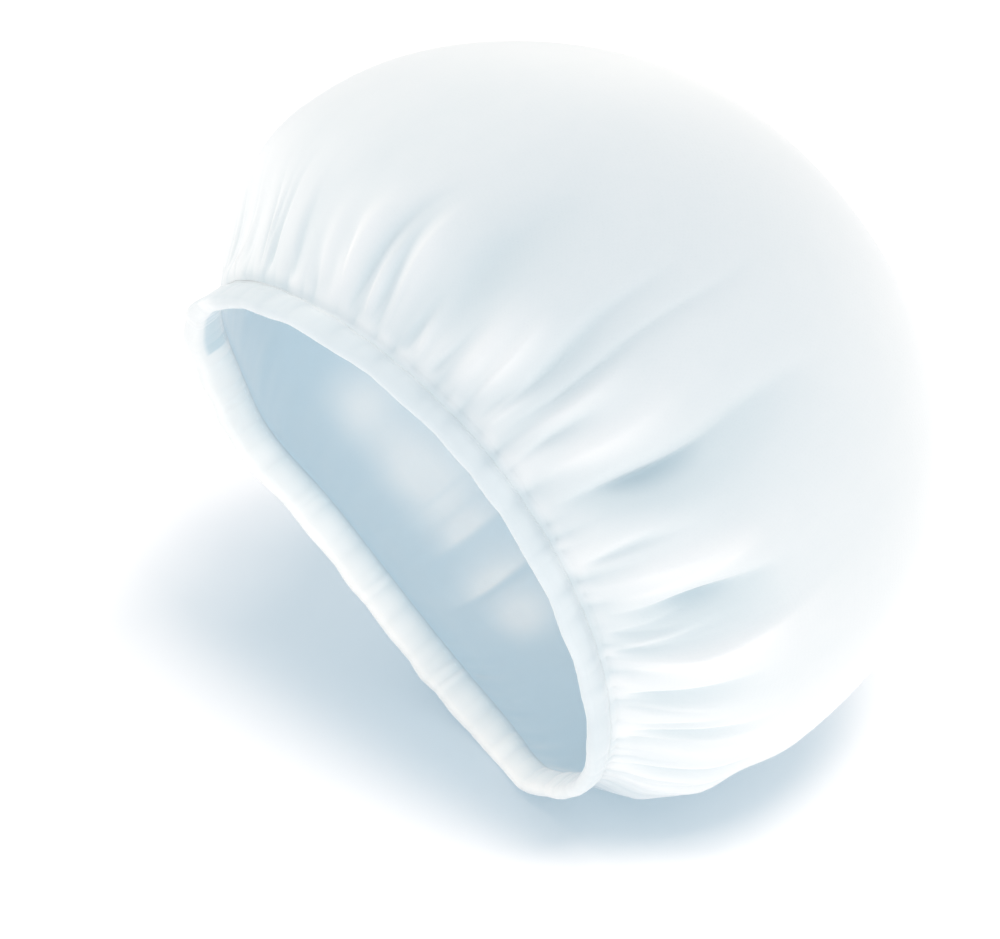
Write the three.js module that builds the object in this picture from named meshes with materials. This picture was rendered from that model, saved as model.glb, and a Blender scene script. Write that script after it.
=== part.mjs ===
// Shampoo cap: a puffed crown of thin non-woven cloth, gathered into an elastic hem, lying on its side.
// Millimetres, +Z up. The opening faces -Y, the crown's top +Y, and the belly is pressed flat on the floor.
import * as THREE from "three";

// Sizes of the cap along its own axis, which runs from the seam's centre to the crown's top
const CROWN_DIAMETER = 242.8;
const SEAM_DIAMETER = 183;
const CROWN_DEPTH = 157.2;
const BELLY_AT = 48.5;
const NECK_POWER = 2.28;
const SHOULDER_POWER = 2.35;
const WALL = 1.2;

// How it lies: the axis rises from the opening, the rim is bent a little, the top sags, the belly is flattened
const AXIS_TILT = 21.5;
const SEAM_CENTRE_HEIGHT = 91;
const RIM_BEND = 4.9;
const RIM_BEND_AT = 42;
const TOP_SAG = 4;
const SAG_SPAN = 115;
const PRESS_BLEND = 3;

// The hem: a strip folded over the crown's edge, with the elastic in its fold
const EDGE_TUCK = 2.5;
const PUCKER_COUNT = 72;
const PUCKER_HEIGHT = 0.8;
const GATHER_HEIGHT = 1.1;
const GATHER_REACH = 0.14;

// Mesh: segments round the rim, halved twice on the way to the crown's top
const SEGMENTS = 2 * PUCKER_COUNT;
const ELASTIC_SEGMENTS = 72;
const BELLY_STATION = 0.3;

// Heights on the crown, 0 at the seam and 1 at its top, each with the share of the segments used from there on
const CROWN_ROWS = [
  { station: 0, share: 1 },
  { station: 0.025, share: 1 },
  { station: 0.055, share: 1 },
  { station: 0.09, share: 1 },
  { station: 0.13, share: 1 },
  { station: 0.18, share: 1 },
  { station: 0.24, share: 1 },
  { station: 0.31, share: 1 },
  { station: 0.39, share: 2 },
  { station: 0.47, share: 2 },
  { station: 0.56, share: 2 },
  { station: 0.65, share: 2 },
  { station: 0.74, share: 2 },
  { station: 0.83, share: 4 },
  { station: 0.92, share: 4 },
];

// Folds that run from the seam up the crown: angle round the axis (0 at +X, 90 at the upper side), half width in
// degrees, rise in mm (below zero for a valley), the heights where it is fullest and where it dies out, and how many
// degrees it leans over on the way
const FOLDS = [
  { at: 108, half: 2.6, rise: -1.2, full: 0.05, ends: 0.16, lean: 0 },
  { at: 99, half: 2.6, rise: -1.5, full: 0.06, ends: 0.18, lean: 0 },
  { at: 88, half: 3.0, rise: 1.6, full: 0.06, ends: 0.22, lean: -2 },
  { at: 83, half: 2.2, rise: -2.4, full: 0.09, ends: 0.3, lean: -5 },
  { at: 77, half: 2.0, rise: -1.6, full: 0.09, ends: 0.24, lean: 0 },
  { at: 73, half: 2.6, rise: 2.4, full: 0.1, ends: 0.3, lean: 0 },
  { at: 64, half: 5.0, rise: -2.6, full: 0.17, ends: 0.38, lean: 0 },
  { at: 55, half: 3.6, rise: 2.0, full: 0.1, ends: 0.26, lean: 2 },
  { at: 48.5, half: 2.6, rise: -3.0, full: 0.16, ends: 0.44, lean: 0 },
  { at: 43.5, half: 2.4, rise: 1.6, full: 0.12, ends: 0.26, lean: 1 },
  { at: 36, half: 3.2, rise: 2.0, full: 0.12, ends: 0.32, lean: 0 },
  { at: 27.5, half: 4.0, rise: -4.2, full: 0.2, ends: 0.55, lean: 1 },
  { at: 21, half: 2.8, rise: 1.6, full: 0.08, ends: 0.24, lean: 0 },
  { at: 14, half: 3.0, rise: 2.8, full: 0.16, ends: 0.42, lean: -1 },
  { at: 8, half: 3.0, rise: -2.8, full: 0.2, ends: 0.42, lean: -1 },
  { at: -2, half: 2.8, rise: 2.2, full: 0.1, ends: 0.32, lean: 0 },
  { at: -8, half: 2.4, rise: -1.8, full: 0.06, ends: 0.22, lean: 0 },
  { at: -19, half: 2.4, rise: -2.0, full: 0.06, ends: 0.2, lean: 0 },
  { at: -33, half: 2.6, rise: -1.6, full: 0.07, ends: 0.22, lean: 0 },
  { at: -60, half: 3.2, rise: -2.0, full: 0.08, ends: 0.24, lean: 4 },
  { at: -112, half: 3.4, rise: -2.4, full: 0.1, ends: 0.3, lean: -4 },
  { at: -122, half: 2.8, rise: 2.0, full: 0.1, ends: 0.3, lean: -2 },
  { at: -132, half: 3.6, rise: -3.0, full: 0.14, ends: 0.42, lean: 1 },
  { at: -150, half: 3.2, rise: -2.6, full: 0.1, ends: 0.32, lean: 0 },
  { at: -163, half: 3.0, rise: 2.2, full: 0.12, ends: 0.34, lean: 2 },
  { at: -173, half: 3.6, rise: -3.4, full: 0.18, ends: 0.5, lean: -1 },
  { at: 168, half: 2.8, rise: 1.8, full: 0.08, ends: 0.28, lean: 0 },
  { at: 157, half: 3.0, rise: -2.4, full: 0.1, ends: 0.36, lean: 1 },
  { at: 143, half: 3.0, rise: 1.8, full: 0.1, ends: 0.3, lean: 0 },
  { at: 133, half: 2.8, rise: -1.8, full: 0.07, ends: 0.24, lean: -1 },
  { at: 120, half: 3.0, rise: -1.6, full: 0.06, ends: 0.2, lean: 0 },
];

// Broad soft swellings and hollows of the crown: where, how wide and how high
const SWELLINGS = [
  { at: 126, half: 16, station: 0.09, spread: 0.07, rise: -4.4 },
  { at: 122, half: 26, station: 0.32, spread: 0.14, rise: 3.2 },
  { at: 98, half: 26, station: 0.58, spread: 0.12, rise: -2.4 },
  { at: 70, half: 30, station: 0.78, spread: 0.1, rise: 1.6 },
  { at: -48, half: 20, station: 0.12, spread: 0.09, rise: 5.0 },
  { at: -38, half: 20, station: 0.3, spread: 0.09, rise: -2.8 },
];

// Places where the rim stands forward of its even curve
const RIM_WAVES = [
  { at: 186, half: 9, forward: 4.4 },
  { at: 287, half: 9, forward: 4.0 },
];

// Section of the hem: mm forward of the seam and mm out from the crown's outer face, round the strip's outside and
// back round the inside of its fold; spread says how much a pucker opens the fold there
const HEM_SECTION = [
  { forward: 0.4, out: 1.5, spread: 0.2 },
  { forward: 3.2, out: 2.0, spread: 1 },
  { forward: 8.0, out: 1.6, spread: 1 },
  { forward: 10.0, out: -0.6, spread: 0 },
  { forward: 8.0, out: -2.8, spread: -1 },
  { forward: 3.2, out: -3.2, spread: -1 },
  { forward: 0.4, out: -2.7, spread: -0.2 },
  { forward: 0.4, out: -1.5, spread: -0.2 },
  { forward: 7.2, out: -1.7, spread: -1 },
  { forward: 8.7, out: -0.6, spread: 0 },
  { forward: 7.2, out: 0.5, spread: 1 },
  { forward: 0.4, out: 0.3, spread: 0.2 },
];

// Section of the flat elastic inside the fold
const ELASTIC_SECTION = [
  { forward: 3.6, out: 0 },
  { forward: 7.4, out: 0 },
  { forward: 7.4, out: -1.2 },
  { forward: 3.6, out: -1.2 },
];

const radians = THREE.MathUtils.degToRad;
const smooth = (from, to, x) => THREE.MathUtils.smoothstep(x, from, to);
const bell = (x) => Math.exp(-x * x);
const turnBetween = (a, b) => THREE.MathUtils.euclideanModulo(a - b + 180, 360) - 180;

const AXIS = new THREE.Vector3(0, Math.cos(radians(AXIS_TILT)), Math.sin(radians(AXIS_TILT)));
const SIDE = new THREE.Vector3(1, 0, 0);
const UPPER = new THREE.Vector3().crossVectors(SIDE, AXIS);

// Direction out from the axis at an angle round it.
function outward(angle) {
  const a = radians(angle);
  return new THREE.Vector3().addScaledVector(SIDE, Math.cos(a)).addScaledVector(UPPER, Math.sin(a));
}

// Distance along the axis and radius of the smooth crown at a height on it.
function meridian(station) {
  const belly = CROWN_DIAMETER / 2;
  const seam = SEAM_DIAMETER / 2;
  if (station < BELLY_STATION) {
    const left = 1 - station / BELLY_STATION;
    return { along: BELLY_AT * (1 - left), radius: seam + (belly - seam) * (1 - left ** NECK_POWER) };
  }
  const turn = ((station - BELLY_STATION) / (1 - BELLY_STATION)) * (Math.PI / 2);
  const power = 2 / SHOULDER_POWER;
  return {
    along: BELLY_AT + (CROWN_DEPTH - BELLY_AT) * Math.sin(turn) ** power,
    radius: belly * Math.max(Math.cos(turn), 0) ** power,
  };
}

// How far the rim is set back toward the crown at an angle.
function rimShift(angle) {
  let shift = RIM_BEND * Math.cos(radians(2 * (angle - RIM_BEND_AT)));
  for (const wave of RIM_WAVES) {
    shift -= wave.forward * bell(turnBetween(angle, wave.at) / wave.half);
  }
  return shift;
}

// Height of folds, swellings and rim gathers over the smooth crown.
function clothRise(angle, station) {
  let rise = 0;
  for (const fold of FOLDS) {
    const at = fold.at + (fold.lean * station) / fold.ends;
    const run = smooth(0, fold.full, station) * (1 - smooth(fold.full, fold.ends, station));
    rise += fold.rise * run * bell(turnBetween(angle, at) / fold.half);
  }
  for (const swelling of SWELLINGS) {
    const across = bell(turnBetween(angle, swelling.at) / swelling.half);
    rise += swelling.rise * across * bell((station - swelling.station) / swelling.spread) * smooth(0, 0.05, station);
  }
  const gather = Math.cos(radians(PUCKER_COUNT * angle)) / 2;
  return rise + GATHER_HEIGHT * gather * smooth(0, 0.03, station) * (1 - smooth(0.03, GATHER_REACH, station));
}

// Puts a point of the cap as worn where it lies, sagged at the top and flattened at the floor.
function lay(along, radius, angle) {
  const point = new THREE.Vector3(0, 0, SEAM_CENTRE_HEIGHT);
  point.addScaledVector(AXIS, along).addScaledVector(outward(angle), radius);
  const over = Math.max(point.z - SEAM_CENTRE_HEIGHT, 0) / SAG_SPAN;
  point.z -= TOP_SAG * over ** 3;
  if (point.z < -PRESS_BLEND) {
    point.z = 0;
  } else if (point.z < PRESS_BLEND) {
    point.z = (point.z + PRESS_BLEND) ** 2 / (4 * PRESS_BLEND);
  }
  return point;
}

// A point on the crown's outer face.
function crownPoint(angle, station) {
  const { along, radius } = meridian(station);
  const settled = 1 - Math.min(station / 0.45, 1);
  return lay(along + rimShift(angle) * settled ** 2, radius + clothRise(angle, station), angle);
}

// A point of the hem or the elastic, forward of the seam and out from the crown's outer face.
function rimPoint(angle, forward, out) {
  const seam = crownPoint(angle, 0);
  return seam.addScaledVector(AXIS, -forward).addScaledVector(outward(angle), out);
}

// Closes two rings of points with triangles; the second ring has as many points, half as many, or one. Between equal
// rings the triangles lean alternately, so that puckers come out even.
function bridge(faces, lower, upper) {
  const count = lower.length;
  const step = upper.length === 1 ? 0 : count / upper.length;
  for (let i = 0; i < count; i += 1) {
    const next = (i + 1) % count;
    const even = i % 2 === 0;
    if (step === 0) {
      faces.push([lower[i], upper[0], lower[next]]);
    } else if (step === 1 && even) {
      faces.push([lower[i], upper[i], lower[next]], [lower[next], upper[i], upper[next]]);
    } else if (step === 1) {
      faces.push([lower[i], upper[i], upper[next]], [lower[i], upper[next], lower[next]]);
    } else if (even) {
      faces.push([lower[i], upper[i / 2], lower[next]]);
    } else {
      const far = upper[((i + 1) / 2) % upper.length];
      faces.push([lower[i], upper[(i - 1) / 2], far], [lower[i], far, lower[next]]);
    }
  }
}

// A mesh geometry from points and triangles.
function geometryOf(points, faces) {
  const geometry = new THREE.BufferGeometry();
  geometry.setAttribute("position", new THREE.Float32BufferAttribute(points.flatMap((p) => p.toArray()), 3));
  geometry.setIndex(faces.flat());
  geometry.computeVertexNormals();
  return geometry;
}

// The crown: an outer face ring by ring, and an inner face one wall inside it, joined round the tucked edge.
function crownGeometry() {
  const points = [];
  const rings = [];
  const addRing = (count, pointAt) => {
    const ring = [];
    for (let i = 0; i < count; i += 1) {
      ring.push(points.length);
      points.push(pointAt((i * 360) / count));
    }
    rings.push(ring);
  };
  addRing(SEGMENTS, (angle) => rimPoint(angle, EDGE_TUCK, 0));
  for (const row of CROWN_ROWS) {
    addRing(SEGMENTS / row.share, (angle) => crownPoint(angle, row.station));
  }
  addRing(1, () => crownPoint(0, 1));
  const outerFaces = [];
  for (let i = 0; i + 1 < rings.length; i += 1) {
    bridge(outerFaces, rings[i], rings[i + 1]);
  }

  const normals = geometryOf(points, outerFaces).getAttribute("normal");
  const offset = points.length;
  const inner = points.map((point, i) => {
    const tucked = i < 2 * SEGMENTS;
    const normal = tucked ? outward((i * 360) / SEGMENTS) : new THREE.Vector3().fromBufferAttribute(normals, i);
    return point.clone().addScaledVector(normal, -WALL);
  });
  const innerFaces = outerFaces.map(([a, b, c]) => [offset + a, offset + c, offset + b]);
  const edgeFaces = [];
  bridge(edgeFaces, rings[0].map((i) => offset + i), rings[0]);
  return geometryOf([...points, ...inner], [...outerFaces, ...innerFaces, ...edgeFaces]);
}

// A closed ring of one section swept round the rim; shape gives the section's points at an angle.
function rimGeometry(segments, shape) {
  const sections = Array.from({ length: segments }, (_, i) => shape((i * 360) / segments));
  const corners = sections[0].length;
  const rings = Array.from({ length: corners }, (_, k) => sections.map((_section, i) => i * corners + k));
  const faces = [];
  rings.forEach((ring, k) => bridge(faces, rings[(k + 1) % corners], ring));
  return geometryOf(sections.flat(), faces);
}

// The hem's section at an angle, its fold opened by the puckers.
function hemShape(angle) {
  const pucker = (PUCKER_HEIGHT * (1 + Math.cos(radians(PUCKER_COUNT * angle)))) / 2;
  return HEM_SECTION.map(({ forward, out, spread }) => rimPoint(angle, forward, out + spread * pucker));
}

// The elastic's section at an angle.
function elasticShape(angle) {
  return ELASTIC_SECTION.map(({ forward, out }) => rimPoint(angle, forward, out));
}

function piece(name, geometry, color, roughness) {
  const mesh = new THREE.Mesh(geometry, new THREE.MeshStandardMaterial({ color, roughness }));
  mesh.name = name;
  return mesh;
}

const cap = new THREE.Group();
cap.name = "shampoo_cap";
cap.add(piece("crown", crownGeometry(), 0xf2f6f7, 0.85));
cap.add(piece("hem_casing", rimGeometry(SEGMENTS, hemShape), 0xe6eff3, 0.85));
cap.add(piece("elastic", rimGeometry(ELASTIC_SEGMENTS, elasticShape), 0xdfe3e2, 0.7));

// The origin goes to the middle of the whole cap's footprint, on the floor.
const bounds = new THREE.Box3().setFromObject(cap);
const middle = bounds.getCenter(new THREE.Vector3());
for (const mesh of cap.children) {
  mesh.geometry.translate(-middle.x, -middle.y, -bounds.min.z);
}

export default cap;
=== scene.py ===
"""Shampoo cap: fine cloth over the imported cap, with its studio, in the frame's own metres."""

import logging
import math
from dataclasses import dataclass, field
from enum import Enum
from functools import cached_property

import bpy
import numpy as np
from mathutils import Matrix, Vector


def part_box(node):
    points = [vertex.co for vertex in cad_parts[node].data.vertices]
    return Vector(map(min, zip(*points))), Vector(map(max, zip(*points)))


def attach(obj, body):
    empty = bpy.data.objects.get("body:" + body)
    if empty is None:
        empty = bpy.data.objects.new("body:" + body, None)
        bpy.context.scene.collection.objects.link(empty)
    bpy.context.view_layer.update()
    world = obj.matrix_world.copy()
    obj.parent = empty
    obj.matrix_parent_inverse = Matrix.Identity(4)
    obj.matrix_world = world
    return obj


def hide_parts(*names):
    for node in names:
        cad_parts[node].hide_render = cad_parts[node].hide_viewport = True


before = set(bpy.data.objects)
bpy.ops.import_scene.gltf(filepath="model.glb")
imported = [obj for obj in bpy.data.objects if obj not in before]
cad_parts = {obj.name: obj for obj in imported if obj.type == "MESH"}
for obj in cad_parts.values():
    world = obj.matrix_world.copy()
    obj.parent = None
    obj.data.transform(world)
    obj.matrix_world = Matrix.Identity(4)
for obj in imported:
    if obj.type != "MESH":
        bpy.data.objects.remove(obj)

log = logging.getLogger("shampoo_cap")

Triple = tuple[float, float, float]
MM = 0.001
# A fold's width at the seam, as a share of that at its middle, and how much wider it is where it dies out
FOLD_AT_SEAM = 0.6
FOLD_WIDENS = 0.8
# Height on the crown up to which swellings are held down by the seam
SWELLING_HELD = 0.05


class Side(Enum):
    """The two faces of the cloth, by their material slot."""

    OUTER = 0
    INNER = 1


class Lit(Enum):
    """What a lamp lights."""

    CAP = "cap"
    FLOOR = "floor"


def smooth(low: float, high: float, x: np.ndarray) -> np.ndarray:
    """Smooth step from 0 at low to 1 at high."""
    t = np.clip((x - low) / (high - low), 0.0, 1.0)
    return t * t * (3.0 - 2.0 * t)


def turn_between(a: np.ndarray, b: np.ndarray) -> np.ndarray:
    """Angle from b to a in degrees, from -180 to 180."""
    return (a - b + 180.0) % 360.0 - 180.0


def along_rim(table: tuple[tuple[float, ...], ...], angle: np.ndarray) -> list[np.ndarray]:
    """Values of a table at angles round the rim.

    Args:
        table: rows of an angle in degrees and the values there.
        angle: angles in degrees.

    Returns:
        Each of the values in turn, at every angle.
    """
    at, *columns = np.array(table).T
    return [np.interp(angle, at, column, period=360.0) for column in columns]


@dataclass(frozen=True)
class Fold:
    """One fold that runs from the seam up the crown.

    Attributes:
        at: angle round the cap's axis, in degrees.
        upper: half width on the side of larger angles, in degrees, at the middle of its length.
        lower: half width on the side of smaller angles, in degrees, likewise.
        rise: height in mm, below zero for a valley.
        full: height on the crown, 0 to 1, where the fold is fullest.
        ends: height on the crown where it dies out.
        lean: degrees that it leans over on the way.
        power: how round its back is, 2 for a soft fold and less for a crease.
    """

    at: float
    upper: float
    lower: float
    rise: float
    full: float
    ends: float
    lean: float = 0.0
    power: float = 2.0

    def height(self, angle: np.ndarray, station: np.ndarray) -> np.ndarray:
        """The fold's rise in mm over the smooth crown.

        Args:
            angle: angles in degrees.
            station: heights on the crown, 0 at the seam.

        Returns:
            The rise at each place.
        """
        share = station / self.ends
        off = turn_between(angle, self.at + self.lean * share)
        width = np.where(off > 0.0, self.upper, self.lower) * (FOLD_AT_SEAM + FOLD_WIDENS * share)
        run = smooth(0.0, self.full, station) * (1.0 - smooth(self.full, self.ends, station))
        return self.rise * run * np.exp(-(np.abs(off / width) ** self.power))


@dataclass(frozen=True)
class Swelling:
    """A broad soft swelling of the crown, or a hollow where rise is below zero.

    Attributes:
        at: angle of its middle round the cap's axis, in degrees.
        half: half width in degrees.
        station: height of its middle on the crown, 0 to 1.
        spread: half its length up the crown.
        rise: height in mm.
        upper: half width on the side of larger angles, if that is another.
    """

    at: float
    half: float
    station: float
    spread: float
    rise: float
    upper: float | None = None

    def height(self, angle: np.ndarray, station: np.ndarray) -> np.ndarray:
        """The swelling's rise in mm at each angle and height."""
        off = turn_between(angle, self.at)
        half = np.where(off > 0.0, self.upper or self.half, self.half)
        across = np.exp(-((off / half) ** 2))
        along = np.exp(-(((station - self.station) / self.spread) ** 2))
        return self.rise * across * along * smooth(0.0, SWELLING_HELD, station)


class Gathers:
    """Uneven puckers round the rim, which join into fewer and longer ones away from it."""

    # How round the backs are in each octave, and the share of every second crease that goes on into the next
    ROUNDNESS = (0.8, 1.2, 1.8)
    GOES_ON = 0.12

    def __init__(self, count: int, seed: int) -> None:
        """Places the creases between puckers.

        Args:
            count: puckers round the rim.
            seed: fixes the uneven spacing.
        """
        draw = np.random.default_rng(seed)
        spacing = draw.uniform(0.5, 1.5, count)
        creases = np.cumsum(spacing) / spacing.sum() * 360.0
        self.octaves: list[tuple[np.ndarray, np.ndarray]] = []
        for _ in self.ROUNDNESS:
            self.octaves.append((creases, draw.uniform(0.3, 1.0, len(creases))))
            keep = np.ones(len(creases), bool)
            keep[1::2] = draw.uniform(0.0, 1.0, len(keep[1::2])) < self.GOES_ON
            creases = creases[keep]

    def pucker(self, octave: int, angle: np.ndarray) -> np.ndarray:
        """Round backs with creases between them, sharp between the finest.

        Args:
            octave: 0 for the finest puckers, 2 for the broadest.
            angle: angles in degrees.

        Returns:
            Heights from 0 in a crease to about 1.
        """
        creases, heights = self.octaves[octave]
        turn = np.mod(angle, 360.0)
        index = np.searchsorted(creases, turn) % len(creases)
        end = creases[index]
        start = creases[index - 1]
        share = np.mod(turn - start, 360.0) / np.mod(end - start, 360.0)
        return heights[index] * np.sin(np.pi * np.clip(share, 0.0, 1.0)) ** self.ROUNDNESS[octave]

    def blend(self, angle: np.ndarray, weights: tuple[float, ...]) -> np.ndarray:
        """Puckers of each octave in turn, from the finest, weighted and added."""
        return sum(weight * self.pucker(octave, angle) for octave, weight in enumerate(weights))


@dataclass
class CapForm:
    """The cap's form: a puffed crown from the seam to its top, laid on its side, in mm and degrees."""

    crown_radius: float = 121.4
    seam_radius: float = 91.5
    depth: float = 157.2
    belly_at: float = 48.5
    belly_station: float = 0.3
    neck_power: float = 2.28
    shoulder_power: float = 2.35
    tilt: float = 21.5
    seam_height: float = 91.0
    rim_bend: float = 4.9
    rim_bend_at: float = 42.0
    top_sag: float = 4.0
    sag_span: float = 115.0
    press_blend: float = 3.0
    gathers: Gathers = field(default_factory=lambda: Gathers(86, 11))
    shift: np.ndarray = field(default_factory=lambda: np.zeros(3))

    folds: tuple[Fold, ...] = (
        Fold(133, 2.2, 3.0, -1.2, 0.07, 0.24, -1),
        Fold(120, 2.2, 3.0, -1.1, 0.06, 0.2),
        Fold(108, 1.6, 2.8, -1.2, 0.05, 0.16),
        Fold(99.5, 1.2, 3.0, -1.6, 0.06, 0.2),
        Fold(92, 2.0, 2.4, 1.4, 0.06, 0.22),
        Fold(87.5, 2.0, 2.0, 2.0, 0.07, 0.24, -3),
        Fold(84, 0.9, 2.4, -2.7, 0.08, 0.32, -6, 1.4),
        Fold(80.6, 0.9, 1.2, 1.4, 0.05, 0.2, -2, 1.5),
        Fold(78.4, 0.8, 1.5, -1.9, 0.07, 0.26, -1, 1.4),
        Fold(75, 1.4, 2.4, 2.3, 0.1, 0.29, 0.5, 1.5),
        Fold(70, 1.5, 1.5, -1.2, 0.05, 0.16),
        Fold(65, 3.2, 5.0, -2.6, 0.19, 0.42, 1.5, 1.8),
        Fold(58, 2.4, 2.6, 2.1, 0.07, 0.24),
        Fold(53.5, 1.0, 1.8, 2.6, 0.09, 0.24, 2, 1.5),
        Fold(49, 1.0, 2.4, -3.2, 0.16, 0.42, 2, 1.3),
        Fold(46, 0.6, 1.2, -1.8, 0.18, 0.5, -1, 1.2),
        Fold(43.5, 1.0, 1.8, 1.6, 0.14, 0.3, 0, 1.6),
        Fold(41, 0.8, 1.4, -1.4, 0.09, 0.2, 0, 1.5),
        Fold(36.5, 2.4, 2.4, 2.6, 0.12, 0.36, 0, 1.7),
        Fold(31, 1.3, 6.2, -6.0, 0.17, 0.47, -3, 1.45),
        Fold(21, 2.6, 2.2, 0.8, 0.09, 0.28),
        Fold(15.5, 2.6, 2.2, 2.6, 0.14, 0.34, -1, 1.6),
        Fold(12, 1.8, 1.0, 1.8, 0.14, 0.3, 1.5, 1.5),
        Fold(9.6, 1.2, 4.8, -5.4, 0.15, 0.33, -2, 1.45),
        Fold(5.5, 0.8, 1.4, -1.2, 0.05, 0.18, 1.5, 1.4),
        Fold(1.5, 0.6, 1.4, -0.8, 0.05, 0.2, 0, 1.3),
        Fold(-1, 1.2, 3.6, 3.8, 0.12, 0.36, 0, 1.4),
        Fold(-9.5, 0.9, 2.6, -3.0, 0.06, 0.24, 1, 1.4),
        Fold(-14, 1.8, 2.2, 1.0, 0.06, 0.2),
        Fold(-20.5, 0.8, 2.2, -3.2, 0.07, 0.22, 1, 1.3),
        Fold(-26, 2.0, 2.4, 0.4, 0.06, 0.22),
        Fold(-34.5, 0.7, 2.0, -2.6, 0.07, 0.24, 0, 1.3),
        Fold(-60, 3.0, 3.2, -2.0, 0.08, 0.24, 4),
        Fold(-112, 3.4, 3.0, -2.4, 0.1, 0.3, -4),
        Fold(-118, 1.4, 2.0, -2.4, 0.2, 0.42, -2, 1.4),
        Fold(-122, 0.9, 1.5, 2.4, 0.22, 0.42, -1, 1.5),
        Fold(-127, 2.0, 2.0, -2.2, 0.2, 0.4, -1, 1.5),
        Fold(-134, 0.9, 1.1, -2.6, 0.2, 0.4, 0, 1.4),
        Fold(-141, 0.9, 1.1, -2.4, 0.18, 0.36, 0, 1.4),
        Fold(-150, 2.6, 3.4, -2.6, 0.16, 0.4),
        Fold(-163, 3.0, 2.6, 0.8, 0.12, 0.34, 2),
        Fold(-173, 2.6, 4.4, -1.0, 0.18, 0.5, -1, 1.7),
        Fold(168, 2.4, 2.8, 0.6, 0.08, 0.28),
        Fold(157, 2.2, 3.4, -1.0, 0.1, 0.36, 1, 1.7),
        Fold(143, 3.0, 2.6, 1.2, 0.1, 0.3),
    )
    swellings: tuple[Swelling, ...] = (
        Swelling(126, 16, 0.09, 0.07, -4.4),
        Swelling(122, 26, 0.32, 0.14, 3.2),
        Swelling(98, 26, 0.58, 0.12, -2.4),
        Swelling(70, 30, 0.78, 0.1, 1.6),
        Swelling(-58, 16, 0.04, 0.035, 4.0),
        Swelling(-50, 18, 0.1, 0.06, 3.2),
        Swelling(-44, 16, 0.2, 0.06, -1.6),
    )
    # Pools of painted light on the inner face; the rise is a share of full painted light
    painted_light_pools: tuple[Swelling, ...] = (
        Swelling(-126, 38, 0.2, 0.25, 0.22),
        Swelling(-132, 20, 0.26, 0.07, 0.15),
        Swelling(-158.5, 5.0, 0.225, 0.08, 0.8),
        Swelling(-149, 5.5, 0.235, 0.08, 0.7),
        Swelling(-140.5, 5.0, 0.25, 0.085, 0.68),
        Swelling(-132.2, 4.0, 0.245, 0.07, 0.72, 0.9),
        Swelling(-123.0, 3.8, 0.215, 0.09, 0.8, 0.8),
        Swelling(-115.8, 4.6, 0.215, 0.07, 0.86),
        Swelling(-164.5, 3.4, 0.2, 0.08, 0.16),
        Swelling(-145, 3.0, 0.24, 0.07, 0.15),
        Swelling(-139.6, 0.7, 0.25, 0.06, -0.16),
        Swelling(-135.4, 0.8, 0.25, 0.06, -0.14),
        Swelling(-121.4, 0.8, 0.23, 0.07, -0.14),
    )
    # Angle, half width in degrees and mm forward of each place where the rim stands out
    rim_waves: tuple[Triple, ...] = ((187, 15, 3.2), (287, 13, 3.4))
    # Height in mm of each set of gathers, mm from the ditch to where it is full, and mm more to where a third
    # of it is left
    gather_runs: tuple[Triple, ...] = ((1.1, 2.6, 5.0), (1.5, 7.0, 16.0), (1.1, 18.0, 40.0))
    # The ditch where the crown goes under the hem: angles, mm forward of the seam and how much shade it holds
    ditch: tuple[Triple, ...] = (
        (-40, 2.1, 0.9), (48, 2.1, 0.9), (58, 2.1, 0.75), (75, 1.5, 0.5), (90, 0.8, 0.25), (103, -0.2, 1.1),
        (114, -1.2, 1.1), (150, -2.4, 0.8), (230, -1.0, 0.6), (300, 1.0, 0.8),
    )
    # How far puckers push the ditch, and the crown's rise behind it with the mm that it takes
    ditch_push: float = 0.5
    ditch_lift: float = 0.1
    ditch_lift_run: float = 0.4
    # The ditch's shade: how deep and wide it is, the weights of the puckers that part it, their height where
    # they are free of it, and how sharply it sets in between them
    ditch_shade: float = 2.4
    ditch_width: float = 3.4
    ditch_puckers: tuple[float, ...] = (0.3, 0.8)
    ditch_free: float = 1.1
    ditch_contrast: float = 1.5
    # How much the gathers' painted shade and light gain at the seam, and mm in which that fades to a third
    gather_painted_shading: float = 1.0
    gather_reach: float = 14.0
    # Mean height of the puckers, and mm from the ditch where they lie evenly about the smooth crown
    pucker_mean: float = 0.4
    even_from: float = 8.0
    # Height on the crown where the rim's bend has died out
    rim_reach: float = 0.45
    # Where the rim is hardly gathered: angle, half width in degrees and the share of the gathers left out
    slack: Triple = (158, 44, 0.75)
    # Degrees that folds wander on their way up, and the small folds between the main ones
    wander: float = 0.4
    minor_folds: int = 80
    minor_seed: int = 5

    @cached_property
    def crinkles(self) -> list[Fold]:
        """Small folds scattered round the rim between the main ones."""
        draw = np.random.default_rng(self.minor_seed)
        crinkles = []
        for at in draw.uniform(-180.0, 180.0, self.minor_folds):
            width, other = draw.uniform(0.5, 1.3, 2)
            full = draw.uniform(0.03, 0.09)
            ends = full + draw.uniform(0.06, 0.16)
            rise = draw.choice([-1.0, 1.0]) * draw.uniform(0.5, 1.3)
            crinkles.append(Fold(at, width, other, rise, full, ends, draw.uniform(-2.5, 2.5), 1.5))
        return crinkles

    @property
    def axis(self) -> np.ndarray:
        """Unit vector along the cap's axis, from the opening to the crown's top."""
        t = math.radians(self.tilt)
        return np.array([0.0, math.cos(t), math.sin(t)])

    def outward(self, angle: np.ndarray) -> np.ndarray:
        """Unit vectors out from the axis at each angle."""
        a = np.radians(angle)
        t = math.radians(self.tilt)
        return np.stack([np.cos(a), -math.sin(t) * np.sin(a), math.cos(t) * np.sin(a)], axis=-1)

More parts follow.
